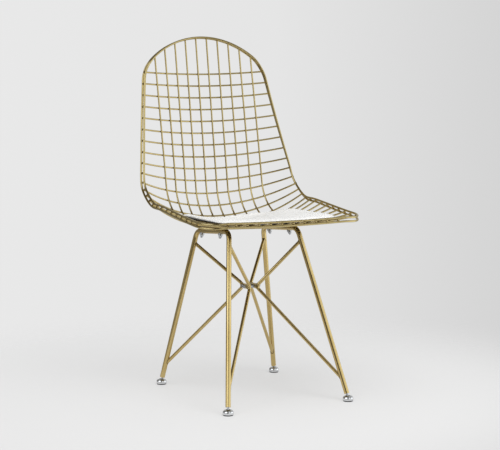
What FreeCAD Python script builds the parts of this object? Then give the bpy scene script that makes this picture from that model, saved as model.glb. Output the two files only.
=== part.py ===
"""Wire bucket chair on a bolted rod base, with a loose seat pad.

Millimetres. +Z up, the sitter faces -Y, +X is the sitter's left. The origin is on the floor,
in the middle of the chair's own box. The chair is symmetric about the plane x = 0.
"""
import FreeCAD, Part
import math
import os

V = FreeCAD.Vector

# Stance of the base
foot_half_width = 155.0
foot_half_depth = 182.5
feet_middle_y = -45.5
leg_diameter = 12.0
leg_bend_radius = 22.0
leg_end_height = 17.5
bar_front_y = -101.8
bar_rear_y = 69.7

# Braces and the hub where they meet
brace_diameter = 8.0
brace_bend_radius = 10.0
brace_top_drop = 30.0
brace_foot_height = 50.0
hub_y = -33.5
hub_height = 254.0
hub_apex_half_gap = 8.2
hub_apex_half_length = 15.0
hub_block_diameter = 12.0
hub_block_across_flats = 10.0
hub_screw_half_spacing = 5.5

# Wires of the shell
wire_diameter = 4.0
rim_diameter = 5.0
long_pitch = 29.0
long_pairs = 5
cross_first = 90.5
cross_pitch_back = 29.3
cross_pitch_bend = 32.0
cross_pitch_front = 27.6
cross_last_back = 10
cross_last_bend = 18
cross_last = 24
wire_end_overhang = 1.5
weld_gap = 0.05

# Middle profile of the shell, from the top of the back to the front edge
back_top_y = 237.5
back_top_z = 838.0
back_recline = 9.1
back_length = 375.0
bend_radius = 105.0
seat_rise = 6.6
seat_length = 149.0
lip_radius = 2600.0
lip_length = 136.0

# Cupping of the shell, as the rise at the reference half width
cup_half_width = 205.0
cup_top = 10.0
cup_back_end = 56.9
cup_seat_start = 68.3
cup_front = 5.0
cup_blend = 30.0
cup_bend_extra = 8.0
cup_bend_reach = 100.0
rise_angle_back = 28.0
rise_angle_seat = 88.0
rise_blend_reach = 75.0

# Outline of the shell, laid flat
shell_half_width = 205.5
crown_radius = 200.0
crown_half_angle = 42.0
shoulder_radius = 100.0
hip_radius = 900.0
hip_station = 450.8
front_corner_radius = 55.0

# Rails under the seat, and the screws of the rails and the hub
rail_width = 16.0
rail_thickness = 3.0
rail_seat_depth = 0.6
rail_overhang = 12.0
rail_bay = 3
screw_rear_wire = 16
screw_front_wire = 19
screw_rear_share = 0.28
screw_front_share = 0.68
screw_diameter = 5.0
screw_clearance = 0.15
screw_head_diameter = 9.0
screw_head_height = 2.8
screw_head_round = 1.2
screw_tail = 3.0
nut_across_flats = 8.0
nut_height = 4.0
nut_clearance = 0.03
saddle_diameter = 11.0
saddle_height = 3.5
saddle_wrap = 1.5
spacer_diameter = 9.0

# Swivel glides
cap_diameter = 25.0
cap_height = 13.0
cap_wall = 1.4
cap_skirt_height = 2.8
cap_lip = 1.0
base_diameter = 22.4
base_lip_height = 2.6
base_boss_diameter = 14.4
ball_diameter = 8.0
ball_height = 9.0
socket_depth = 2.0
neck_diameter = 4.0
neck_length = 6.8
stem_diameter = 6.0
stem_in_leg = 22.0
stem_travel_in = 1.0
swivel_angle = 28.0
swivel_clearance = 0.3
running_gap = 0.05

# Seat pad
pad_half_width = 158.0
pad_rear_station = 468.0
pad_front_station = 796.0
pad_rear_corner_length = 110.0
pad_rear_corner_cut = 104.0
pad_front_corner_length = 42.0
pad_front_corner_cut = 42.0
pad_side_draw = 6.0
pad_edge_thickness = 6.0
pad_crown = 8.0
pad_clearance = 0.4

# Sizes that follow from those
wire_radius = wire_diameter / 2
rim_radius = rim_diameter / 2
leg_radius = leg_diameter / 2
brace_radius = brace_diameter / 2
screw_radius = screw_diameter / 2
screw_bore = screw_radius + screw_clearance
layer = wire_diameter + weld_gap
rim_offset = wire_radius + rim_radius + weld_gap
back_end = back_length
bend_end = back_end + bend_radius * math.radians(90 + seat_rise - back_recline)
seat_end = bend_end + seat_length
front_end = seat_end + lip_length


# Curves of the shell

def smooth(t):
    """Step from 0 to 1 that starts and ends level."""
    t = min(max(t, 0.0), 1.0)
    return t * t * (3 - 2 * t)


def turn(y, z, heading, radius, angle):
    """End of an arc that leaves (y, z) along heading and turns clockwise by angle, in radians."""
    y += radius * (math.sin(heading) - math.sin(heading - angle))
    z += radius * (math.cos(heading - angle) - math.cos(heading))
    return y, z, heading - angle


def profile(s):
    """Point (y, z) of the middle profile at the length s from its top."""
    heading = -math.radians(90 + back_recline)
    run = min(s, back_end)
    y = back_top_y + run * math.cos(heading)
    z = back_top_z + run * math.sin(heading)
    if s > back_end:
        angle = (min(s, bend_end) - back_end) / bend_radius
        y, z, heading = turn(y, z, heading, bend_radius, angle)
    if s > bend_end:
        run = min(s, seat_end) - bend_end
        y += run * math.cos(heading)
        z += run * math.sin(heading)
    if s > seat_end:
        y, z, heading = turn(y, z, heading, lip_radius, (s - seat_end) / lip_radius)
    return y, z


def cup(s):
    """Rise of the shell at the reference half width."""
    rising = cup_top + (cup_back_end - cup_top) * s / back_end
    falling = cup_front + (cup_seat_start - cup_front) * (front_end - s) / (front_end - bend_end)
    near = max(cup_blend - abs(rising - falling), 0.0) / cup_blend
    middle = (back_end + bend_end) / 2
    away = min(abs(s - middle) / cup_bend_reach, 1.0)
    extra = cup_bend_extra * (1 - away * away) ** 2
    return min(rising, falling) - near * near * cup_blend / 4 + extra


def cup_radius(s):
    """Radius of the round section of the shell at s, or None where it is flat."""
    depth = cup(s)
    if abs(depth) < 1e-6:
        return None
    return (cup_half_width ** 2 + depth ** 2) / (2 * depth)


def rise_direction(s):
    """Direction in which the sides of the shell rise from its middle."""
    start = back_end - rise_blend_reach
    share = smooth((s - start) / (bend_end + rise_blend_reach - start))
    angle = math.radians(rise_angle_back + (rise_angle_seat - rise_angle_back) * share)
    return V(0, -math.cos(angle), math.sin(angle))


def shell(x, s):
    """Point on the surface that holds the cross wires' axes: every section is a round arc."""
    y, z = profile(s)
    radius = cup_radius(s)
    rise = 0.0
    if radius:
        rise = radius - math.copysign(math.sqrt(radius ** 2 - x * x), radius)
    return V(x, y, z) + rise_direction(s) * rise


def along(x, s):
    """Unit direction of growing s on the shell."""
    step = 0.01
    return (shell(x, s + step) - shell(x, s - step)).normalize()


def across(x, s):
    """Unit direction of growing x on the shell."""
    step = 0.01
    return (shell(x + step, s) - shell(x - step, s)).normalize()


def normal(x, s):
    """Unit normal of the shell, towards the sitter."""
    return along(x, s).cross(across(x, s)).normalize()


def outline_runs():
    """Runs of the flat outline's right half from the top, as (length, radius or None, spans)."""
    crown = math.radians(crown_half_angle)
    inset = crown_radius - shoulder_radius
    reach_x = shell_half_width - hip_radius - inset * math.sin(crown)
    reach_s = hip_station - crown_radius + inset * math.cos(crown)
    reach = math.hypot(reach_x, reach_s)
    growth = hip_radius - shoulder_radius
    side = math.atan2(reach_s, reach_x) - math.asin(growth / reach)
    quarter = math.radians(90)
    return [(crown_radius * crown, crown_radius, 8),
            (shoulder_radius * (side - crown), shoulder_radius, 3),
            (math.sqrt(reach ** 2 - growth ** 2), None, 5),
            (hip_radius * (quarter - side), hip_radius, 8),
            (front_end - front_corner_radius - hip_station, None, 18),
            (front_corner_radius * quarter, front_corner_radius, 6),
            (shell_half_width - front_corner_radius, None, 8)]


def outline_at(t):
    """Point (x, s) of the flat outline at the length t from its top."""
    runs = outline_runs()
    x = 0.0
    s = 0.0
    heading = 0.0
    for k, (length, radius, spans) in enumerate(runs):
        last = k == len(runs) - 1
        run = t if last else min(t, length)
        if radius:
            ahead = heading + run / radius
            x += radius * (math.sin(ahead) - math.sin(heading))
            s += radius * (math.cos(heading) - math.cos(ahead))
            heading = ahead
        else:
            x += run * math.cos(heading)
            s += run * math.sin(heading)
        t -= run
        if t <= 0:
            break
    return x, s


def half_width(s):
    """Half width of the flat outline at s, found by halving."""
    low = 0.0
    high = sum(length for length, radius, spans in outline_runs()[:-1])
    for step in range(60):
        middle = (low + high) / 2
        if outline_at(middle)[1] < s:
            low = middle
        else:
            high = middle
    return outline_at(low)[0]


def long_x(pair):
    """Distance of a pair of long wires from the middle."""
    return (pair - 0.5) * long_pitch


def cross_station(number):
    """Length s of a cross wire, counted from the top."""
    back = min(number, cross_last_back) - 1
    bend = max(min(number, cross_last_bend) - cross_last_back, 0)
    front = max(number - cross_last_bend, 0)
    return cross_first + cross_pitch_back * back + cross_pitch_bend * bend + cross_pitch_front * front


# Rods

def arc_edge(start, corner, end):
    """Arc from start to end whose end tangents meet at the corner, or a line if they line up."""
    middle = (start + end) * 0.5
    half = (end - start).Length / 2
    height = (corner - middle).Length
    if height < 1e-5 * half:
        return Part.LineSegment(start, end).toShape()
    sag = half * math.tan(math.atan2(height, half) / 2)
    return Part.Arc(start, middle + (corner - middle) * (sag / height), end).toShape()


def biarc(start, start_dir, end, end_dir):
    """Two arcs, or lines, that join two points along the given directions."""
    chord = end - start
    reach = chord.dot(start_dir + end_dir)
    spread = 2 * (1 - start_dir.dot(end_dir))
    if spread < 1e-9:
        length = chord.dot(chord) / (2 * reach)
    else:
        length = (math.sqrt(reach ** 2 + spread * chord.dot(chord)) - reach) / spread
    corner_a = start + start_dir * length
    corner_b = end - end_dir * length
    middle = (corner_a + corner_b) * 0.5
    return [arc_edge(start, corner_a, middle), arc_edge(middle, corner_b, end)]


def sweep(edges, direction, radius):
    """Round rod along joined edges, starting along direction, with its flat ends as the first faces."""
    start = edges[0].Vertexes[0].Point
    ring = Part.Wire([Part.Circle(start, direction, radius).toShape()])
    rod = Part.Wire(edges).makePipeShell([ring], True, False)
    return Part.Solid(Part.Shell(sorted(rod.Faces, key=lambda face: len(face.Edges))))


def curved_rod(point_at, stations, radius):
    """Round rod along a curve, joined from arcs between the stations."""
    step = 0.05
    places = [point_at(t) for t in stations]
    ways = [(point_at(t + step) - point_at(t - step)).normalize() for t in stations]
    edges = []
    for k in range(len(places) - 1):
        edges += biarc(places[k], ways[k], places[k + 1], ways[k + 1])
    return sweep(edges, ways[0], radius)


def bent_rod(points, bend, radius):
    """Round rod through straight runs with an equal bend at each inner point."""
    edges = []
    start = points[0]
    for before, corner, after in zip(points, points[1:], points[2:]):
        to_before = (before - corner).normalize()
        to_after = (after - corner).normalize()
        cut = bend / math.tan(to_before.getAngle(to_after) / 2)
        edges.append(Part.LineSegment(start, corner + to_before * cut).toShape())
        edges.append(arc_edge(corner + to_before * cut, corner, corner + to_after * cut))
        start = corner + to_after * cut
    edges.append(Part.LineSegment(start, points[-1]).toShape())
    return sweep(edges, points[1] - points[0], radius)


def bend_tip(before, corner, after, bend):
    """Middle of the bend at a corner."""
    to_before = (before - corner).normalize()
    to_after = (after - corner).normalize()
    half = to_before.getAngle(to_after) / 2
    return corner + (to_before + to_after).normalize() * (bend / math.sin(half) - bend)


def spread(runs):
    """Stations along joined runs, each given as (start, end, number of spans)."""
    stations = [low + (high - low) * k / count for low, high, count in runs for k in range(count)]
    return stations + [runs[-1][1]]


# Pieces of the shell

def rim_shift(x, s):
    """Height of the rim pair's middle: over the long wires' ends, level with the cross wires'."""
    inner = long_x(long_pairs) + 2 * rim_diameter
    outer = half_width(cross_first if s < hip_station else cross_station(cross_last)) - rim_radius
    return layer * (1 - smooth((abs(x) - inner) / (outer - inner)))


def rim_wire(side):
    """Closed rim wire on one side of the shell's wires: one half and its mirror image."""
    runs = []
    start = 0.0
    for length, radius, spans in outline_runs():
        runs.append((start, start + length, spans))
        start += length

    def point_at(t):
        x, s = outline_at(t)
        return shell(x, s) + normal(x, s) * (rim_shift(x, s) + side * rim_offset)

    half = curved_rod(point_at, spread(runs), rim_radius)
    return half.fuse(mirrored(half))


def long_wire(x):
    """Long wire from the crown to the front edge: it lies on the cross wires, in a plane."""
    def point_at(s):
        forward = along(x, s)
        level = V(0, forward.z, -forward.y).normalize()
        return shell(x, s) + level * (layer / level.dot(normal(x, s)))

    top = crown_radius - math.sqrt(crown_radius ** 2 - x * x) - wire_end_overhang
    runs = [(top, back_end - rise_blend_reach, 4),
            (back_end - rise_blend_reach, back_end, 2),
            (back_end, bend_end, 6),
            (bend_end, bend_end + rise_blend_reach, 2),
            (bend_end + rise_blend_reach, seat_end, 2),
            (seat_end, front_end + wire_end_overhang, 3)]
    return curved_rod(point_at, spread(runs), wire_radius)


def cross_wire(s):
    """Cross wire: one arc from rim to rim."""
    reach = half_width(s) + wire_end_overhang
    arc = Part.Arc(shell(-reach, s), shell(0, s), shell(reach, s)).toShape()
    return sweep([arc], arc.tangentAt(arc.FirstParameter), wire_radius)


def pad_section(s):
    """Outline of the pad across the seat at s: hollow below, crowned above, upright at the sides."""
    share = (s - pad_rear_station) / (pad_front_station - pad_rear_station)
    rear = max(1 - (s - pad_rear_station) / pad_rear_corner_length, 0.0)
    front = max(1 - (pad_front_station - s) / pad_front_corner_length, 0.0)
    width = pad_half_width - pad_side_draw * 4 * share * (1 - share)
    width -= pad_rear_corner_cut * (1 - math.sqrt(1 - rear ** 2))
    width -= pad_front_corner_cut * (1 - math.sqrt(1 - front ** 2))
    up = rise_direction(s)
    lift = (layer + wire_radius + pad_clearance) / up.dot(normal(0, s))
    radius = cup_radius(s) - lift
    middle = shell(0, s) + up * lift
    sag = radius - math.sqrt(radius ** 2 - width ** 2)
    low_left = middle + V(-width, 0, 0) + up * sag
    low_right = middle + V(width, 0, 0) + up * sag
    edge = up * pad_edge_thickness
    top = middle + edge + up * (pad_crown * (1 - (2 * share - 1) ** 4))
    return Part.Wire([Part.Arc(low_left, middle, low_right).toShape(),
                      Part.LineSegment(low_right, low_right + edge).toShape(),
                      Part.Arc(low_right + edge, top, low_left + edge).toShape(),
                      Part.LineSegment(low_left + edge, low_left).toShape()])


def seat_pad():
    """Pad that fills the bottom of the seat, with rounded corners and drawn-in sides."""
    corner_rear = pad_rear_station + pad_rear_corner_length
    corner_front = pad_front_station - pad_front_corner_length
    runs = [(pad_rear_station, corner_rear, 5), (corner_rear, corner_front, 3),
            (corner_front, pad_front_station, 3)]
    return Part.makeLoft([pad_section(s) for s in spread(runs)], True, False)


# Screws

def prism(base, axis, flats, height):
    """Hexagonal prism that starts at base and runs along axis."""
    reach = flats / math.sqrt(3)
    spin = axis.cross(V(0, 1, 0) if abs(axis.y) < 0.5 else V(0, 0, 1)).normalize()
    side = axis.cross(spin)
    turns = [math.radians(60 * k) for k in range(7)]
    ring = [base + spin * (reach * math.cos(a)) + side * (reach * math.sin(a)) for a in turns]
    return Part.Face(Part.makePolygon(ring)).extrude(axis * height)


def screw(seat, axis, length):
    """Screw with a rounded head: the head stands on the seat, the shank runs along axis."""
    head = Part.makeCylinder(screw_head_diameter / 2, screw_head_height, seat, axis * -1)
    crown = [edge for edge in head.Edges if abs((edge.CenterOfMass - seat).dot(axis)) > screw_head_height / 2
             and len(edge.Vertexes) == 1]
    head = head.makeFillet(screw_head_round, crown)
    return head.fuse(Part.makeCylinder(screw_radius, length, seat, axis)).removeSplitter()


def nut(seat, axis):
    """Nut that starts at the seat."""
    bore = Part.makeCylinder(screw_radius + nut_clearance, nut_height, seat, axis)
    return prism(seat, axis, nut_across_flats, nut_height).cut(bore)


def mirrored(shape):
    """The same piece on the other side of the chair."""
    return shape.mirror(V(0, 0, 0), V(1, 0, 0))


def save(name, *solids):
    """Write one node."""
    shape = solids[0] if len(solids) == 1 else Part.makeCompound(list(solids))
    shape.exportStep(f"parts/{name}.step")


# Rail and bar of the sitter's left side

rail_x = rail_bay * long_pitch
screw_rear_s = cross_station(screw_rear_wire) + screw_rear_share * cross_pitch_bend
screw_front_s = cross_station(screw_front_wire) + screw_front_share * cross_pitch_front
rail_rear = shell(rail_x, screw_rear_s)
rail_span = shell(rail_x, screw_front_s) - rail_rear
rail_way = V(rail_span).normalize()
rail_up = rail_way.cross(across(rail_x, (screw_rear_s + screw_front_s) / 2)).normalize()
rail_side = rail_up.cross(rail_way)


def rail_top_height():
    """Height of the rail's top over its rear screw: just under the lowest cross wire."""
    reach = rail_side.x * rail_width / 2
    numbers = range(screw_rear_wire, screw_front_wire + 2)
    places = [shell(rail_x + shift, cross_station(k)) for k in numbers for shift in (-reach, 0, reach)]
    return min((place - rail_rear).dot(rail_up) for place in places) - wire_radius - weld_gap


rail_top = rail_rear + rail_up * rail_top_height()
bar_middle = rail_top - rail_up * (rail_thickness - rail_seat_depth + leg_radius)


def bar_point(y):
    """Point on the bar's axis."""
    return bar_middle + rail_way * ((y - bar_middle.y) / rail_way.y)


front_ball = V(foot_half_width, feet_middle_y - foot_half_depth, ball_height)
rear_ball = V(foot_half_width, feet_middle_y + foot_half_depth, ball_height)
front_corner = bar_point(bar_front_y)
rear_corner = bar_point(bar_rear_y)
legs = [("front", front_ball, front_corner), ("rear", rear_ball, rear_corner)]


def on_leg(ball, corner, height):
    """Point on a leg's axis at a height."""
    way = corner - ball
    return ball + way * ((height - ball.z) / way.z)


def leg_frame():
    """Two legs and the bar between them, bent from one rod, drilled for stems and screws."""
    front_foot = on_leg(front_ball, front_corner, leg_end_height)
    rear_foot = on_leg(rear_ball, rear_corner, leg_end_height)
    frame = bent_rod([front_foot, front_corner, rear_corner, rear_foot], leg_bend_radius, leg_radius)
    for foot, corner in ((front_foot, front_corner), (rear_foot, rear_corner)):
        depth = stem_in_leg + 2 * stem_travel_in
        frame = frame.cut(Part.makeCylinder(stem_diameter / 2 + running_gap, depth, foot, corner - foot))
    for seat in screw_seats():
        frame = frame.cut(Part.makeCylinder(screw_bore, leg_diameter * 2, seat, rail_up * -1))
    return frame


def screw_seats():
    """Seats of the two rail screws on top of the rail."""
    return [rail_top, rail_top + rail_span]


def seat_rail(frame):
    """Flat rail under the cross wires, grooved where it sits on the bar."""
    length = rail_span.Length + 2 * rail_overhang
    corner = rail_top - rail_way * rail_overhang - rail_side * (rail_width / 2)
    ring = [corner, corner + rail_side * rail_width, corner + rail_side * rail_width + rail_way * length,
            corner + rail_way * length, corner]
    rail = Part.Face(Part.makePolygon(ring)).extrude(rail_up * -rail_thickness)
    for seat in screw_seats():
        rail = rail.cut(Part.makeCylinder(screw_bore, rail_thickness, seat, rail_up * -1))
    return rail.cut(frame)


def saddle(seat, frame):
    """Saddle washer under the bar."""
    drop = rail_thickness - rail_seat_depth + leg_diameter - saddle_wrap
    start = seat - rail_up * drop
    body = Part.makeCylinder(saddle_diameter / 2, saddle_height + saddle_wrap, start, rail_up * -1)
    bore = Part.makeCylinder(screw_bore, saddle_height + saddle_wrap, start, rail_up * -1)
    return body.cut(bore).cut(frame)


def brace_points(name, ball, corner):
    """Top end, apex and lower end of a brace's axis."""
    side = -1 if name == "front" else 1
    top = corner + (ball - corner).normalize() * brace_top_drop
    apex = V(hub_apex_half_gap, hub_y + side * hub_apex_half_length, hub_height)
    return top, apex, on_leg(ball, corner, brace_foot_height)


def brace(name, ball, corner, frame):
    """Brace bent to a V, its ends shaped to the leg."""
    return bent_rod(brace_points(name, ball, corner), brace_bend_radius, brace_radius).cut(frame)


tips = [bend_tip(*brace_points(*leg), brace_bend_radius) for leg in legs]
hub_x = (tips[0].x + tips[1].x) / 2
hub_flat = hub_block_across_flats / 2
hub_screws = [hub_y - hub_screw_half_spacing, hub_y + hub_screw_half_spacing]


def hub_block(braces):
    """Block between the tips of a side's two braces, with flats and holes for the hub screws."""
    length = tips[1].y - tips[0].y
    start = V(hub_x, tips[0].y, hub_height)
    block = Part.makeCylinder(hub_block_diameter / 2, length, start, V(0, 1, 0))
    corner = start - V(hub_flat, 0, hub_block_diameter)
    block = block.common(Part.makeBox(2 * hub_flat, length, 2 * hub_block_diameter, corner))
    for y in hub_screws:
        bore = V(hub_x - hub_block_diameter, y, hub_height)
        block = block.cut(Part.makeCylinder(screw_bore, 2 * hub_block_diameter, bore, V(1, 0, 0)))
    for rod in braces:
        block = block.cut(rod)
    return block


def spacer(y):
    """Tube between the two hub blocks."""
    gap = 2 * (hub_x - hub_flat)
    start = V(-gap / 2, y, hub_height)
    tube = Part.makeCylinder(spacer_diameter / 2, gap, start, V(1, 0, 0))
    return tube.cut(Part.makeCylinder(screw_bore, gap, start, V(1, 0, 0)))


# Glides

def glide_stem(ball, corner):
    """Ball stud: ball, neck and the stem that screws into the leg."""
    way = (corner - ball).normalize()
    top = (on_leg(ball, corner, leg_end_height) - ball).Length + stem_in_leg
    stem = Part.makeSphere(ball_diameter / 2, ball)
    stem = stem.fuse(Part.makeCylinder(neck_diameter / 2, neck_length, ball, way))
    shank = Part.makeCylinder(stem_diameter / 2, top - neck_length, ball + way * neck_length, way)
    return stem.fuse(shank).removeSplitter()


def swivel_cone(ball):
    """Room that the neck needs to tilt."""
    angle = math.radians(swivel_angle)
    start = neck_diameter / 2 / math.cos(angle) + swivel_clearance
    height = cap_height
    return Part.makeCone(start, start + height * math.tan(angle), height, ball)


def turned(ball, edges):
    """Solid turned about the upright axis of a glide from edges in (radius, height)."""
    outline = Part.Face(Part.Wire(edges))
    center = V(ball.x, ball.y, 0)
    outline.translate(center)
    return outline.revolve(center, V(0, 0, 1), 360)


def path(*points):
    """Straight edges through (radius, height) points."""
    places = [V(r, 0, z) for r, z in points]
    return [Part.LineSegment(a, b).toShape() for a, b in zip(places, places[1:])]


def glide_base(ball):
    """Plastic base: the sole and the boss whose socket holds the ball."""
    sole = Part.makeCylinder(base_diameter / 2, base_lip_height, V(ball.x, ball.y, 0))
    boss = Part.makeCylinder(base_boss_diameter / 2, ball_height + socket_depth, V(ball.x, ball.y, 0))
    socket = Part.makeSphere(ball_diameter / 2 + running_gap, ball)
    return sole.fuse(boss).removeSplitter().cut(socket).cut(swivel_cone(ball))


def glide_cap(ball):
    """Domed cap over the base, open at the top for the neck."""
    angle = math.radians(swivel_angle)
    opening = neck_diameter / 2 / math.cos(angle) + swivel_clearance
    opening += (cap_height - ball_height) * math.tan(angle)
    edges = []
    for inset, upward in ((0.0, True), (cap_wall, False)):
        radius = cap_diameter / 2 - inset
        low = base_lip_height
        shoulder = low + cap_skirt_height
        top = cap_height - inset
        lip = opening + cap_lip
        half = math.sqrt(0.5)
        bulge = V(lip + (radius - lip) * half, 0, shoulder + (top - shoulder) * half)
        skirt = path((radius, low), (radius, shoulder))
        dome = [Part.Arc(V(radius, 0, shoulder), bulge, V(lip, 0, top)).toShape()]
        rim = path((lip, top), (opening, top))
        edges += skirt + dome + rim if upward else rim + dome + skirt
    edges += path((opening, cap_height), (opening, cap_height - cap_wall))
    edges += path((cap_diameter / 2 - cap_wall, base_lip_height), (cap_diameter / 2, base_lip_height))
    return turned(ball, Part.sortEdges(edges)[0])


os.makedirs("parts", exist_ok=True)

# Shell and pad
save("front_rim_wire", rim_wire(1))
save("rear_rim_wire", rim_wire(-1))
for pair in range(1, long_pairs + 1):
    wire = long_wire(long_x(pair))
    save(f"long_wire_pair_{pair}", wire, mirrored(wire))
for number in range(1, cross_last + 1):
    save(f"cross_wire_{number:02d}", cross_wire(cross_station(number)))
save("seat_pad", seat_pad())

# Base
frame = leg_frame()
save("leg_frame_left", frame)
save("leg_frame_right", mirrored(frame))
rail = seat_rail(frame)
save("seat_rail_left", rail)
save("seat_rail_right", mirrored(rail))
braces = []
for name, ball, corner in legs:
    rod = brace(name, ball, corner, frame)
    braces.append(rod)
    save(f"{name}_brace_left", rod)
    save(f"{name}_brace_right", mirrored(rod))
block = hub_block(braces)
save("hub_block_left", block)
save("hub_block_right", mirrored(block))
save("hub_spacers", *[spacer(y) for y in hub_screws])

# Screws and nuts
grip = 2 * (hub_x + hub_flat)
hub_seats = [V(-grip / 2, y, hub_height) for y in hub_screws]
hub_tail = grip + nut_height + screw_tail
save("hub_screws", *[screw(seat, V(1, 0, 0), hub_tail) for seat in hub_seats])
under = rail_thickness - rail_seat_depth + leg_diameter + saddle_height
seat_screws = [screw(seat, rail_up * -1, under + nut_height + screw_tail) for seat in screw_seats()]
save("seat_screws", *seat_screws, *[mirrored(item) for item in seat_screws])
saddles = [saddle(seat, frame) for seat in screw_seats()]
save("saddle_washers", *saddles, *[mirrored(item) for item in saddles])
seat_nuts = [nut(seat - rail_up * under, rail_up * -1) for seat in screw_seats()]
hub_nuts = [nut(seat + V(grip, 0, 0), V(1, 0, 0)) for seat in hub_seats]
save("nuts", *seat_nuts, *[mirrored(item) for item in seat_nuts], *hub_nuts)

# Glides
for name, ball, corner in legs:
    for node, piece in (("stem", glide_stem(ball, corner)), ("base", glide_base(ball)),
                        ("cap", glide_cap(ball))):
        save(f"glide_{node}_{name}_left", piece)
        save(f"glide_{node}_{name}_right", mirrored(piece))
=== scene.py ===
"""Looks of the gold wire chair: finishes, welds and the sewn seat pad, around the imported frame."""
import math

import bmesh
import bpy
import numpy as np
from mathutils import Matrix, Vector
from mathutils.bvhtree import BVHTree
from mathutils.kdtree import KDTree


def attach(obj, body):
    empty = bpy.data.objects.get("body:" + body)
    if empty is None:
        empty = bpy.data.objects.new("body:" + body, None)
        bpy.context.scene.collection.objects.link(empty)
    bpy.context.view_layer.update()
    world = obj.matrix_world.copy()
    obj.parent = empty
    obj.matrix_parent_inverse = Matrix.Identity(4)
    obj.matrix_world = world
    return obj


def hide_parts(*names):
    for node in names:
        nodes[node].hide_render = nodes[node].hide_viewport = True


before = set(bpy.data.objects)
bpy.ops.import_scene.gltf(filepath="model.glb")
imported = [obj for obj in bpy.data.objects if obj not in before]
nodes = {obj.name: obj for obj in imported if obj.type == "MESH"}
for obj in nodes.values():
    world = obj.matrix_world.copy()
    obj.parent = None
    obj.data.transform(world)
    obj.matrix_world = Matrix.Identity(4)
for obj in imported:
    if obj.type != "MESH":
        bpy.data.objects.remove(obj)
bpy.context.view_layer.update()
scene = bpy.context.scene
MM = 0.001
up = Vector((0.0, 0.0, 1.0))

# Sizes of the chair's wires, as in the source
wire_radius = 2.0 * MM
wire_end_overhang = 1.5 * MM
long_pitch = 29.0 * MM
long_pairs = 5
cross_wires = 24
rail_middle = 3 * long_pitch
rail_width = 16.0 * MM
crown_above = 0.6

# Nodes that the welds join
rims = ("front_rim_wire", "rear_rim_wire")
seat_rails = ("seat_rail_left", "seat_rail_right")
leg_frames = ("leg_frame_left", "leg_frame_right")
hub_blocks = ("hub_block_left", "hub_block_right")
braces = ("front_brace_left", "front_brace_right", "rear_brace_left", "rear_brace_right")

# Welds
weld_width = 2.8 * MM
weld_height = 1.5 * MM
weld_unevenness = 0.14
weld_gap = 1.5 * wire_radius
rail_weld_offset = 0.3 * rail_width
bead_radius = 1.1 * MM
hub_bead_radius = 0.7 * MM
bead_step = 1.3 * MM
bead_ripple = 0.3
brace_weld_gap = 1.0 * MM
hub_weld_gap = 0.3 * MM
weld_edge_angle = 0.5
same_place = 1e-6

# Seat pad
voxel = 4.0 * MM
pad_pressure = 4.0
pad_frames = 20
pad_swell = 2.0 * MM
pad_shrink = 0.8 * MM
pad_clearance = 0.05 * MM
pad_edge_angle = 0.4
flat_above = 0.5
# Height of the dark band up the foot of the pad's wall: painted shade of the gap under the pad's
# edge
shade_band_height = 1.4 * MM
shade_band_blur = 0.2 * MM
seam_inset = 6.0 * MM
seam_depth = 0.5 * MM
seam_width = 1.8 * MM
stitch_pitch = 4.2 * MM
stitch_length = 3.0 * MM
thread_radius = 0.35 * MM
thread_sink = 0.6 * thread_radius

# Numbers of the sockets that share a name with others on their node
mix_colour_low, mix_colour_high, mix_colour_out = 6, 7, 2
mix_number_low, mix_number_high, mix_number_out = 2, 3, 0
random_low, random_high, random_out = 2, 3, 1


# Node trees

def add(tree, kind, values=None, **settings):
    """A node with its settings and input values; a value that is a socket is linked."""
    made = tree.nodes.new(kind)
    for name, value in settings.items():
        setattr(made, name, value)
    for key, value in (values or {}).items():
        if isinstance(value, bpy.types.NodeSocket):
            tree.links.new(value, made.inputs[key])
        else:
            made.inputs[key].default_value = value
    return made


def finish(name):
    """An empty surface finish: its tree, its shader and the object coordinates."""
    material = bpy.data.materials.new(name)
    material.use_nodes = True
    tree = material.node_tree
    shader = tree.nodes["Principled BSDF"]
    place = add(tree, "ShaderNodeTexCoord").outputs["Object"]
    return material, tree, shader, place


def noise(tree, place, scale, detail=2.0, roughness=0.5):
    """Cloudy pattern, scale in cells per metre."""
    return add(tree, "ShaderNodeTexNoise", {"Vector": place, "Scale": scale, "Detail": detail,
                                            "Roughness": roughness}).outputs["Fac"]


def tones(tree, factor, *stops):
    """Colours along a factor, as (position, (r, g, b))."""
    ramp = add(tree, "ShaderNodeValToRGB", {"Fac": factor})
    band = ramp.color_ramp.elements
    while len(band) < len(stops):
        band.new(0.5)
    for element, (position, colour) in zip(band, stops):
        element.position = position
        element.color = (*colour, 1.0)
    return ramp.outputs["Color"]


def ranged(tree, factor, low, high, start=0.3, end=0.7):
    """Number from low to high while the factor goes from start to end."""
    return add(tree, "ShaderNodeMapRange", {"Value": factor, "From Min": start, "From Max": end,
                                            "To Min": low, "To Max": high}).outputs["Result"]


def relief(tree, height, depth, strength=1.0):
    """Fine bumps of a depth in metres."""
    return add(tree, "ShaderNodeBump", {"Height": height, "Distance": depth,
                                        "Strength": strength}).outputs["Normal"]


def dress(tree, shader, colour, roughness, normal):
    """Give a shader its colour, its gloss and its relief."""
    tree.links.new(colour, shader.inputs["Base Color"])
    tree.links.new(roughness, shader.inputs["Roughness"])
    tree.links.new(normal, shader.inputs["Normal"])


# Finishes

def gold(name, light, deep, smooth, dull):
    """Satin gold plating: slow drift of tone, fine drawing marks and small dull patches."""
    material, tree, shader, place = finish(name)
    drift = noise(tree, place, scale=14.0, detail=3.0)
    marks = noise(tree, place, scale=650.0, detail=4.0, roughness=0.6)
    dress(tree, shader, tones(tree, drift, (0.3, deep), (0.7, light)),
          ranged(tree, marks, smooth, dull), relief(tree, marks, depth=0.01 * MM, strength=0.4))
    shader.inputs["Metallic"].default_value = 1.0
    return material


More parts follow.
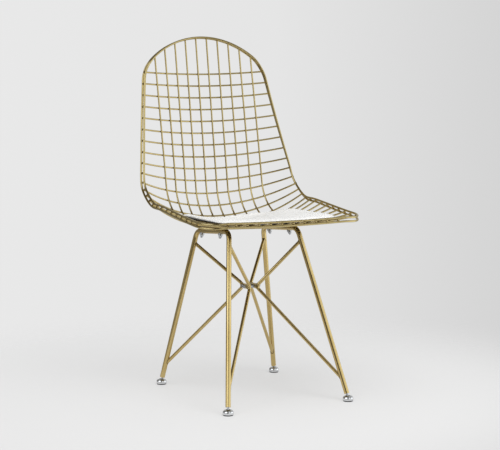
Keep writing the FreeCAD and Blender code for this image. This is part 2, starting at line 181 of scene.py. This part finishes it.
def steel(name, light, deep, smooth, dull, smudges):
    """Plated steel with soft smudges and fine scratches."""
    material, tree, shader, place = finish(name)
    smudge = noise(tree, place, scale=smudges, detail=4.0, roughness=0.6)
    grain = noise(tree, place, scale=2400.0, detail=3.0)
    dress(tree, shader, tones(tree, smudge, (0.35, deep), (0.65, light)),
          ranged(tree, smudge, smooth, dull), relief(tree, grain, depth=0.01 * MM, strength=0.5))
    shader.inputs["Metallic"].default_value = 1.0
    return material


def nylon(name, light, deep):
    """Black moulded sole, a little scuffed."""
    material, tree, shader, place = finish(name)
    scuff = noise(tree, place, scale=260.0, detail=5.0, roughness=0.65)
    grain = noise(tree, place, scale=1800.0)
    dress(tree, shader, tones(tree, scuff, (0.35, deep), (0.75, light)),
          ranged(tree, scuff, low=0.42, high=0.66),
          relief(tree, grain, depth=0.05 * MM, strength=0.6))
    return material


def pad_finish(name, light, deep, backing_and_shade_light, backing_and_shade_deep):
    """White grained cover, with a dark felted backing below its edge: the underside, and a band up
    the foot of its wall that is painted shade of the gap under the pad's edge.
    """
    material, tree, shader, place = finish(name)
    height = add(tree, "ShaderNodeAttribute", attribute_name="wall_height").outputs["Fac"]
    above = ranged(tree, height, low=0.0, high=1.0,
                   start=shade_band_height - shade_band_blur, end=shade_band_height + shade_band_blur)
    drift = noise(tree, place, scale=22.0, detail=3.0)
    fluff = noise(tree, place, scale=900.0, detail=4.0, roughness=0.65)
    # Below the band height the pad is dark: its backing underneath, and painted shade up the foot of
    # its wall
    colour = add(tree, "ShaderNodeMix",
                 {"Factor": above,
                  mix_colour_low: tones(tree, fluff, (0.3, backing_and_shade_deep), (0.7, backing_and_shade_light)),
                  mix_colour_high: tones(tree, drift, (0.3, deep), (0.7, light))},
                 data_type="RGBA").outputs[mix_colour_out]
    cells = add(tree, "ShaderNodeTexVoronoi", {"Vector": place, "Scale": 620.0},
                feature="SMOOTH_F1").outputs["Distance"]
    fine = noise(tree, place, scale=1500.0, detail=3.0)
    grain = add(tree, "ShaderNodeMath", {0: cells, 1: fine}, operation="ADD").outputs["Value"]
    worn = ranged(tree, grain, low=0.42, high=0.6, start=0.4, end=1.2)
    rough = add(tree, "ShaderNodeMix", {0: above, mix_number_low: 0.9, mix_number_high: worn},
                data_type="FLOAT").outputs[mix_number_out]
    dress(tree, shader, colour, rough, relief(tree, grain, depth=0.12 * MM, strength=0.45))
    shader.inputs["Sheen Weight"].default_value = 0.08
    shader.inputs["Sheen Roughness"].default_value = 0.4
    return material


def thread_finish(name, light, deep):
    """White sewing thread with its fine twist."""
    material, tree, shader, place = finish(name)
    twist = noise(tree, place, scale=4000.0)
    dress(tree, shader, tones(tree, twist, (0.3, deep), (0.7, light)),
          ranged(tree, twist, low=0.45, high=0.7),
          relief(tree, twist, depth=0.05 * MM, strength=0.6))
    return material


wire_gold = gold("wire_gold", light=(0.64, 0.515, 0.24), deep=(0.54, 0.42, 0.18),
                 smooth=0.10, dull=0.20)
rim_gold = gold("rim_gold", light=(0.63, 0.51, 0.25), deep=(0.54, 0.425, 0.185),
                smooth=0.09, dull=0.18)
base_gold = gold("base_gold", light=(0.70, 0.54, 0.245), deep=(0.60, 0.445, 0.18),
                 smooth=0.15, dull=0.25)
weld_gold = gold("weld_gold", light=(0.32, 0.235, 0.11), deep=(0.20, 0.14, 0.065),
                 smooth=0.30, dull=0.46)
zinc = steel("zinc_steel", light=(0.60, 0.61, 0.63), deep=(0.45, 0.46, 0.48),
             smooth=0.24, dull=0.42, smudges=180.0)
chrome = steel("glide_chrome", light=(0.84, 0.85, 0.86), deep=(0.74, 0.75, 0.77),
               smooth=0.05, dull=0.14, smudges=90.0)
sole = nylon("glide_sole", light=(0.05, 0.049, 0.047), deep=(0.012, 0.012, 0.013))
# The dark tones are the backing and the painted shade at the foot of the pad's wall
cover = pad_finish("pad_cover", light=(0.88, 0.878, 0.87), deep=(0.83, 0.828, 0.815),
                   backing_and_shade_light=(0.06, 0.057, 0.053), backing_and_shade_deep=(0.022, 0.021, 0.02))
thread = thread_finish("pad_thread", light=(0.86, 0.857, 0.85), deep=(0.72, 0.715, 0.70))

slot_finish = {"wire_gold": wire_gold, "base_gold": base_gold, "zinc_steel": zinc,
               "glide_chrome": chrome, "glide_sole": sole, "pad": cover}
for node in nodes.values():
    for held in node.material_slots:
        held.material = slot_finish[held.material.name.split(".")[0]]
for name in rims:
    nodes[name].data.materials[0] = rim_gold


# Shapes that repeat or follow a path

def growth(name, sizes):
    """An empty shape tree with its named sizes, and the outputs of its input node."""
    tree = bpy.data.node_groups.new(name, "GeometryNodeTree")
    for side in ("INPUT", "OUTPUT"):
        tree.interface.new_socket("Geometry", in_out=side, socket_type="NodeSocketGeometry")
    for label, value in sizes.items():
        kind = "NodeSocketInt" if isinstance(value, int) else "NodeSocketFloat"
        tree.interface.new_socket(label, in_out="INPUT", socket_type=kind).default_value = value
    return tree, add(tree, "NodeGroupInput").outputs


def ending(tree, shape, material):
    """The last nodes of a shape tree: plain smooth mesh in one finish."""
    plain = add(tree, "GeometryNodeRealizeInstances", {"Geometry": shape})
    smooth = add(tree, "GeometryNodeSetShadeSmooth", {"Geometry": plain.outputs["Geometry"]})
    painted = add(tree, "GeometryNodeSetMaterial", {"Geometry": smooth.outputs["Geometry"],
                                                    "Material": material})
    add(tree, "NodeGroupOutput", {"Geometry": painted.outputs["Geometry"]})


def settled(made):
    """Apply what an object's modifiers make, and take them off."""
    view = bpy.context.evaluated_depsgraph_get()
    made.data = bpy.data.meshes.new_from_object(made.evaluated_get(view))
    made.modifiers.clear()


def grown(name, mesh, tree, sizes, body):
    """The mesh that a shape tree makes from points or lines, as one piece on a body."""
    made = bpy.data.objects.new(name, mesh)
    scene.collection.objects.link(made)
    grow = made.modifiers.new("grow", "NODES")
    grow.node_group = tree
    for item in tree.interface.items_tree:
        if item.in_out == "INPUT" and item.name in sizes:
            grow[item.identifier] = sizes[item.name]
    settled(made)
    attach(made, body)
    return made


def turned_to(tree):
    """Rotation of a copy: its Z to the point's facing, its X to the point's run."""
    facing, run = [add(tree, "GeometryNodeInputNamedAttribute", {"Name": label},
                       data_type="FLOAT_VECTOR").outputs["Attribute"]
                   for label in ("facing", "run")]
    upright = add(tree, "FunctionNodeAlignRotationToVector", {"Vector": facing}, axis="Z")
    return add(tree, "FunctionNodeAlignRotationToVector",
               {"Rotation": upright.outputs["Rotation"], "Vector": run},
               axis="X", pivot_axis="Z").outputs["Rotation"]


def points_mesh(name, rows):
    """Points with the direction each copy faces and the direction it runs along."""
    mesh = bpy.data.meshes.new(name)
    mesh.from_pydata([row[0] for row in rows], [], [])
    for label, column in (("facing", 1), ("run", 2)):
        held = mesh.attributes.new(label, "FLOAT_VECTOR", "POINT")
        ways = np.array([row[column] for row in rows], dtype=np.float32)
        held.data.foreach_set("vector", ways.ravel())
    return mesh


def calculated(tree, operation, first, second):
    """Sum, difference or product of two numbers."""
    return add(tree, "ShaderNodeMath", {0: first, 1: second}, operation=operation).outputs["Value"]


def stretched_ball(tree, segments, rings, x, y, z):
    """A ball with its three half lengths."""
    ball = add(tree, "GeometryNodeMeshUVSphere",
               {"Segments": segments, "Rings": rings, "Radius": 1.0})
    size = add(tree, "ShaderNodeCombineXYZ", {"X": x, "Y": y, "Z": z})
    return add(tree, "GeometryNodeTransform", {"Geometry": ball.outputs["Mesh"],
                                               "Scale": size.outputs["Vector"]}).outputs["Geometry"]


def nugget_tree():
    """Flattened weld nugget at each point, a little uneven in size."""
    tree, given = growth("weld_nuggets", {"Width": weld_width, "Height": weld_height,
                                          "Unevenness": weld_unevenness, "Seed": 7})
    nugget = stretched_ball(tree, 10, 6, given["Width"], given["Width"], given["Height"])
    scale = add(tree, "FunctionNodeRandomValue",
                {random_low: calculated(tree, "SUBTRACT", 1.0, given["Unevenness"]),
                 random_high: calculated(tree, "ADD", 1.0, given["Unevenness"]),
                 "Seed": given["Seed"]}, data_type="FLOAT").outputs[random_out]
    copies = add(tree, "GeometryNodeInstanceOnPoints",
                 {"Points": given["Geometry"], "Instance": nugget, "Rotation": turned_to(tree),
                  "Scale": scale})
    ending(tree, copies.outputs["Instances"], weld_gold)
    return tree


def bead_tree():
    """Rippled weld bead along lines."""
    tree, given = growth("weld_beads", {"Radius": bead_radius, "Step": bead_step,
                                        "Ripple": bead_ripple, "Seed": 3})
    line = add(tree, "GeometryNodeMeshToCurve", {"Mesh": given["Geometry"]})
    even = add(tree, "GeometryNodeResampleCurve",
               {"Curve": line.outputs["Curve"], "Length": given["Step"]}, mode="LENGTH")
    ripple = add(tree, "FunctionNodeRandomValue",
                 {random_low: calculated(tree, "SUBTRACT", 1.0, given["Ripple"]),
                  random_high: 1.0, "Seed": given["Seed"]},
                 data_type="FLOAT").outputs[random_out]
    swell = add(tree, "GeometryNodeSetCurveRadius", {"Curve": even.outputs["Curve"],
                                                     "Radius": ripple})
    ring = add(tree, "GeometryNodeCurvePrimitiveCircle", {"Resolution": 8,
                                                          "Radius": given["Radius"]})
    bead = add(tree, "GeometryNodeCurveToMesh",
               {"Curve": swell.outputs["Curve"], "Profile Curve": ring.outputs["Curve"],
                "Fill Caps": True})
    ending(tree, bead.outputs["Mesh"], weld_gold)
    return tree


def stitch_tree():
    """Stitches of sewing thread along a line."""
    tree, given = growth("stitches", {"Pitch": stitch_pitch, "Length": stitch_length,
                                      "Radius": thread_radius})
    line = add(tree, "GeometryNodeMeshToCurve", {"Mesh": given["Geometry"]})
    places = add(tree, "GeometryNodeCurveToPoints",
                 {"Curve": line.outputs["Curve"], "Length": given["Pitch"]}, mode="LENGTH")
    half = calculated(tree, "MULTIPLY", given["Length"], 0.5)
    stitch = stretched_ball(tree, 8, 6, given["Radius"], given["Radius"], half)
    copies = add(tree, "GeometryNodeInstanceOnPoints",
                 {"Points": places.outputs["Points"], "Instance": stitch,
                  "Rotation": places.outputs["Rotation"]})
    ending(tree, copies.outputs["Instances"], thread)
    return tree


# Where the wires meet

def merged(mesh):
    """A copy of a mesh with the points that share a place joined."""
    shape = bmesh.new()
    shape.from_mesh(mesh)
    bmesh.ops.remove_doubles(shape, verts=shape.verts, dist=same_place)
    return shape


def near_tree(name):
    """Search tree of a node's faces."""
    shape = merged(nodes[name].data)
    found = BVHTree.FromBMesh(shape)
    shape.free()
    return found


def rows_of(mesh, label="co"):
    """Places, or normals, of a mesh's points as rows."""
    values = np.empty(len(mesh.vertices) * 3)
    mesh.vertices.foreach_get(label, values)
    return values.reshape(-1, 3)


def lines_of(name):
    """Both ends of every edge of a node."""
    mesh = nodes[name].data
    ends = np.empty(len(mesh.edges) * 2, dtype=int)
    mesh.edges.foreach_get("vertices", ends)
    places = rows_of(mesh)[ends.reshape(-1, 2)]
    return places[:, 0], places[:, 1]


def wire_middle(lines, x):
    """Middle of a wire where it passes the plane at x."""
    a, b = lines
    hit = (a[:, 0] - x) * (b[:, 0] - x) < 0
    share = (x - a[hit, 0]) / (b[hit, 0] - a[hit, 0])
    ring = a[hit] + share[:, None] * (b[hit] - a[hit])
    return Vector((ring.min(0) + ring.max(0)) / 2)


def wire_ends(name):
    """Middle and outward direction of the flat ends of a node's wires."""
    groups = {}
    for face in nodes[name].data.polygons:
        if not face.use_smooth:
            key = (face.center.x > 0, face.center.z > crown_above)
            row = (face.center * face.area, face.normal * face.area, face.area)
            groups.setdefault(key, []).append(row)
    ends = []
    for group in groups.values():
        middles, ways, areas = zip(*group)
        ends.append((sum(middles, Vector()) / sum(areas), sum(ways, Vector()).normalized()))
    return ends


def touching(place, tree, run):
    """Row of a weld where a wire's middle lies beside another piece, or none if it is far off."""
    near, way, face, gap = tree.find_nearest(place)
    if gap > weld_gap:
        return []
    facing = (near - place).normalized()
    return [(place + facing * wire_radius, facing, run)]


def grid_welds():
    """Welds of the long wires and rails on the cross wires, and of all wire ends on the rims."""
    cross_names = [f"cross_wire_{number:02d}" for number in range(1, cross_wires + 1)]
    long_names = [f"long_wire_pair_{pair}" for pair in range(1, long_pairs + 1)]
    edges = [near_tree(name) for name in rims]
    longs = [near_tree(name) for name in long_names]
    rails = [near_tree(name) for name in seat_rails]
    along_x = Vector((1.0, 0.0, 0.0))
    rows = []
    for name in cross_names:
        lines = lines_of(name)
        for pair, tree in enumerate(longs):
            for x in (-(pair + 0.5) * long_pitch, (pair + 0.5) * long_pitch):
                run = wire_middle(lines, x + wire_radius) - wire_middle(lines, x - wire_radius)
                rows += touching(wire_middle(lines, x), tree, run)
        for x, tree in ((rail_middle, rails[0]), (-rail_middle, rails[1])):
            for side in (-rail_weld_offset, rail_weld_offset):
                rows += touching(wire_middle(lines, x + side), tree, along_x)
    for name in cross_names + long_names:
        for middle, out in wire_ends(name):
            for tree in edges:
                rows += touching(middle - out * wire_end_overhang, tree, out)
    return points_mesh("grid_welds", rows)


def sharp_lines(names, others, most):
    """Sharp edges of nodes that lie against other nodes, as lines."""
    places, edges = [], []
    trees = [near_tree(other) for other in others]
    for name in names:
        shape = merged(nodes[name].data)
        for edge in shape.edges:
            if edge.calc_face_angle(0.0) <= weld_edge_angle:
                continue
            a, b = [point.co.copy() for point in edge.verts]
            middle = (a + b) / 2
            if any(tree.find_nearest(middle)[3] < most for tree in trees):
                edges.append((len(places), len(places) + 1))
                places += [a, b]
        shape.free()
    mesh = bpy.data.meshes.new("weld_lines")
    mesh.from_pydata(places, edges, [])
    lines = merged(mesh)
    lines.to_mesh(mesh)
    lines.free()
    return mesh


grown("grid_welds", grid_welds(), nugget_tree(), {}, "chair")
beads = bead_tree()
grown("brace_welds", sharp_lines(braces, leg_frames, brace_weld_gap), beads, {},
      "chair")
grown("hub_welds", sharp_lines(hub_blocks, braces, hub_weld_gap), beads,
      {"Radius": hub_bead_radius}, "chair")


# The seat pad

def blown_up(cloth):
    """Where pressure takes the points of a closed cover."""
    press = cloth.modifiers.new("cloth", "CLOTH")
    press.settings.use_pressure = True
    press.settings.uniform_pressure_force = pad_pressure
    press.settings.effector_weights.gravity = 0.0
    for step in range(1, pad_frames + 1):
        scene.frame_set(step)
    view = bpy.context.evaluated_depsgraph_get()
    moved = rows_of(cloth.evaluated_get(view).to_mesh())
    cloth.evaluated_get(view).to_mesh_clear()
    cloth.modifiers.clear()
    scene.frame_set(1)
    return moved


def seam_line(shape):
    """Line on the pad's top, a little inside its upper edge, as points and edges."""
    places, edges = {}, []
    for edge in shape.edges:
        ways = sorted((face.normal for face in edge.link_faces), key=lambda way: way.z)
        if edge.calc_face_angle(0.0) > pad_edge_angle and ways[1].z > flat_above:
            wall = Vector((ways[0].x, ways[0].y, 0.0)).normalized()
            for point in edge.verts:
                places.setdefault(point.index, []).append(point.co - wall * seam_inset)
            edges.append((edge.verts[0].index, edge.verts[1].index))
    order = {index: k for k, index in enumerate(places)}
    line = [sum(rows, Vector()) / len(rows) for rows in places.values()]
    return line, [(order[a], order[b]) for a, b in edges]


def set_places(mesh, rows):
    mesh.vertices.foreach_set("co", rows.ravel())


def swollen(cloth, solid):
    """Blow a slightly smaller copy of the pad up, but not past its swell or into the wires."""
    start = rows_of(cloth.data) - pad_shrink * rows_of(cloth.data, "normal")
    set_places(cloth.data, start)
    step = blown_up(cloth) - start
    reach = np.maximum(np.linalg.norm(step, axis=1, keepdims=True), 1e-9)
    moved = start + step * np.minimum(1.0, (pad_swell + pad_shrink) / reach)
    for k, point in enumerate(moved):
        near, way, face, gap = solid.find_nearest(point)
        if way.z < 0.0 and (Vector(point) - near).dot(way) > -pad_clearance:
            moved[k] = near - way * pad_clearance
    set_places(cloth.data, moved)


def drawn_in(cloth, line):
    """Pull the cover in along its seam; gives the seam's points on the cover, before that."""
    top = BVHTree.FromPolygons([point.co.copy() for point in cloth.data.vertices],
                               [list(face.vertices) for face in cloth.data.polygons])
    line = [top.find_nearest(point)[0] for point in line]
    seam = KDTree(len(line))
    for k, point in enumerate(line):
        seam.insert(point, k)
    seam.balance()
    places, ways = rows_of(cloth.data), rows_of(cloth.data, "normal")
    away = np.array([seam.find(point)[2] for point in places])
    places -= ways * (seam_depth * np.exp(-(away / seam_width) ** 2))[:, None]
    set_places(cloth.data, places)
    return line


def seat_pad():
    """The pad as a soft cover; gives the line of its seam for the stitches."""
    shape = merged(nodes["seat_pad"].data)
    shape.verts.index_update()
    solid = BVHTree.FromBMesh(shape)
    below = [[point.index for point in face.verts] for face in shape.faces
             if face.normal.z < -flat_above]
    under = BVHTree.FromPolygons([point.co.copy() for point in shape.verts], below)
    line, edges = seam_line(shape)
    mesh = bpy.data.meshes.new("seat_cover")
    shape.to_mesh(mesh)
    shape.free()
    cloth = bpy.data.objects.new("seat_cover", mesh)
    scene.collection.objects.link(cloth)
    remesh = cloth.modifiers.new("voxels", "REMESH")
    remesh.mode = "VOXEL"
    remesh.voxel_size = voxel
    settled(cloth)
    swollen(cloth, solid)
    smooth = cloth.modifiers.new("smooth", "SUBSURF")
    smooth.levels = smooth.render_levels = 1
    settled(cloth)
    line = drawn_in(cloth, line)
    # Height above the underside; it places the dark backing and the painted shade band on the wall
    heights = [under.find_nearest(point)[3] for point in rows_of(cloth.data)]
    held = cloth.data.attributes.new("wall_height", "FLOAT", "POINT")
    held.data.foreach_set("value", np.array(heights, dtype=np.float32))
    cloth.data.materials.clear()
    cloth.data.materials.append(cover)
    cloth.data.shade_smooth()
    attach(cloth, "chair")
    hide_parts("seat_pad")
    sewn = bpy.data.meshes.new("pad_seam")
    drop = up * (seam_depth - thread_sink)
    sewn.from_pydata([point - drop for point in line], edges, [])
    return sewn


grown("pad_stitches", seat_pad(), stitch_tree(), {}, "chair")


# Camera

camera_place = Vector((-1.6343, -3.2157, 0.8019))
camera_turn = math.radians(-27.18)
camera_dip = math.radians(6.43)
focal_pixels = 1529.0
frame_width = 500.0

ahead = Vector((-math.sin(camera_turn), math.cos(camera_turn), 0.0))
right = Vector((ahead.y, -ahead.x, 0.0))
look = ahead * math.cos(camera_dip) - up * math.sin(camera_dip)

camera = bpy.data.objects.new("camera", bpy.data.cameras.new("camera"))
camera.data.sensor_width = 36.0
camera.data.lens = focal_pixels * camera.data.sensor_width / frame_width
camera.data.clip_start = 0.05
camera.data.clip_end = 100.0
camera.location = camera_place
camera.rotation_mode = "QUATERNION"
camera.rotation_quaternion = look.to_track_quat("-Z", "Y")
scene.collection.objects.link(camera)
scene.camera = camera
scene.view_settings.view_transform = "Standard"


# Stage and light

floor_radius = 6.0
floor_grey = (0.40, 0.40, 0.40, 1.0)
floor_glow = 0.42
floor_glow_mirrored = 0.32
floor_fade = (0.45, 1.15)
seat_middle = up * 0.42

# Soft patches of the studio that the plated pieces mirror:
# direction, half angles of the full and of the faded patch in degrees, strength
patches = {
    "back wall": (ahead + right * 0.35, 30.0, 85.0, 0.45),
    "ceiling": (right * 0.5 - ahead * 0.3 + up, 10.0, 27.0, 0.45),
    "low front": (-ahead * 0.4 - up, 30.0, 75.0, 0.12),
    "left wall": (-ahead * 0.1 - right, 25.0, 50.0, 0.22),
    "right wall": (-ahead * 0.05 + right, 28.0, 44.0, 1.1),
    "left softbox": (-ahead * 0.67 - right * 0.74 + up * 0.7, 18.0, 30.0, 1.7),
    "right softbox": (-ahead * 0.87 + right * 0.49 + up * 0.45, 15.0, 23.0, 1.0),
}
patch_white = (0.96, 1.0, 1.03, 1.0)
dusk_tone = (1.0, 0.88, 0.70, 1.0)
dusk_strength = 0.09
tent_white = (1.0, 1.0, 1.0, 1.0)
tent_strength = 0.5
backdrop_reach = 0.16
backdrop_tones = ((0.0, (0.81, 0.81, 0.81)), (0.55, (0.785, 0.785, 0.785)),
                  (1.0, (0.665, 0.665, 0.665)))


def eased(tree, factor, high, start, end):
    """Number that rises softly from 0 to high while the factor goes from start to end."""
    return add(tree, "ShaderNodeMapRange", {"Value": factor, "From Min": start, "From Max": end,
                                            "To Min": 0.0, "To Max": high},
               interpolation_type="SMOOTHSTEP").outputs["Result"]


def studio_floor():
    """Pale floor disc that fades into the backdrop."""
    shape = bmesh.new()
    bmesh.ops.create_circle(shape, cap_ends=True, radius=floor_radius, segments=96)
    mesh = bpy.data.meshes.new("floor")
    shape.to_mesh(mesh)
    shape.free()
    floor = bpy.data.objects.new("floor", mesh)
    scene.collection.objects.link(floor)
    material, tree, shader, place = finish("floor_paper")
    shader.inputs["Base Color"].default_value = floor_grey
    shader.inputs["Roughness"].default_value = 0.7
    shader.inputs["Specular IOR Level"].default_value = 0.2
    shader.inputs["Emission Color"].default_value = (1.0, 1.0, 1.0, 1.0)
    mirrored = add(tree, "ShaderNodeLightPath").outputs["Is Glossy Ray"]
    tree.links.new(ranged(tree, mirrored, floor_glow, floor_glow_mirrored, start=0.0, end=1.0),
                   shader.inputs["Emission Strength"])
    reach = add(tree, "ShaderNodeVectorMath", {0: place}, operation="LENGTH").outputs["Value"]
    clear = add(tree, "ShaderNodeBsdfTransparent")
    mixed = add(tree, "ShaderNodeMixShader",
                {0: eased(tree, reach, 1.0, *floor_fade), 1: shader.outputs["BSDF"],
                 2: clear.outputs["BSDF"]})
    tree.links.new(mixed.outputs["Shader"], tree.nodes["Material Output"].inputs["Surface"])
    mesh.materials.append(material)


def facing_share(tree, way, target):
    """Cosine between a ray and a direction."""
    return add(tree, "ShaderNodeVectorMath", {0: way, 1: target},
               operation="DOT_PRODUCT").outputs["Value"]


def patch(tree, way, target, inner, outer, strength):
    """Brightness of one soft patch of the studio."""
    return eased(tree, facing_share(tree, way, target.normalized()), strength,
                 math.cos(math.radians(outer)), math.cos(math.radians(inner)))


def background(tree, colour, strength=1.0):
    return add(tree, "ShaderNodeBackground", {"Color": colour,
                                              "Strength": strength}).outputs["Background"]


def studio_world():
    """Plain backdrop for the camera, soft patches in dusk for mirrored rays, a white tent else."""
    scene.world = bpy.data.worlds.new("studio")
    scene.world.use_nodes = True
    tree = scene.world.node_tree
    tree.nodes.clear()
    way = add(tree, "ShaderNodeTexCoord").outputs["Generated"]
    rays = add(tree, "ShaderNodeLightPath").outputs
    glow = 0.0
    for row in patches.values():
        glow = calculated(tree, "ADD", glow, patch(tree, way, *row))
    mirrored = add(tree, "ShaderNodeAddShader", {0: background(tree, patch_white, glow),
                                                 1: background(tree, dusk_tone, dusk_strength)})
    room = add(tree, "ShaderNodeMixShader",
               {0: rays["Is Glossy Ray"], 1: background(tree, tent_white, tent_strength),
                2: mirrored.outputs["Shader"]})
    sideways = ranged(tree, facing_share(tree, way, right), low=0.0, high=1.0,
                      start=-backdrop_reach, end=backdrop_reach)
    backdrop = background(tree, tones(tree, sideways, *backdrop_tones))
    mixed = add(tree, "ShaderNodeMixShader",
                {0: rays["Is Camera Ray"], 1: room.outputs["Shader"], 2: backdrop})
    add(tree, "ShaderNodeOutputWorld", {"Surface": mixed.outputs["Shader"]})


def soft_light(name, place, size, watts):
    """Round lamp turned to the seat, and not seen in the plated pieces."""
    lamp = bpy.data.objects.new(name, bpy.data.lights.new(name, "AREA"))
    lamp.data.shape = "DISK"
    lamp.data.size = size
    lamp.data.energy = watts
    lamp.location = place
    lamp.rotation_mode = "QUATERNION"
    lamp.rotation_quaternion = (seat_middle - place).to_track_quat("-Z", "Y")
    lamp.visible_glossy = False
    scene.collection.objects.link(lamp)


studio_floor()
studio_world()
soft_light("key", right * 1.7 - ahead * 1.5 + up * 2.3, size=1.8, watts=30.0)
soft_light("top", -right * 0.5 - ahead * 1.1 + up * 3.2, size=3.0, watts=46.0)
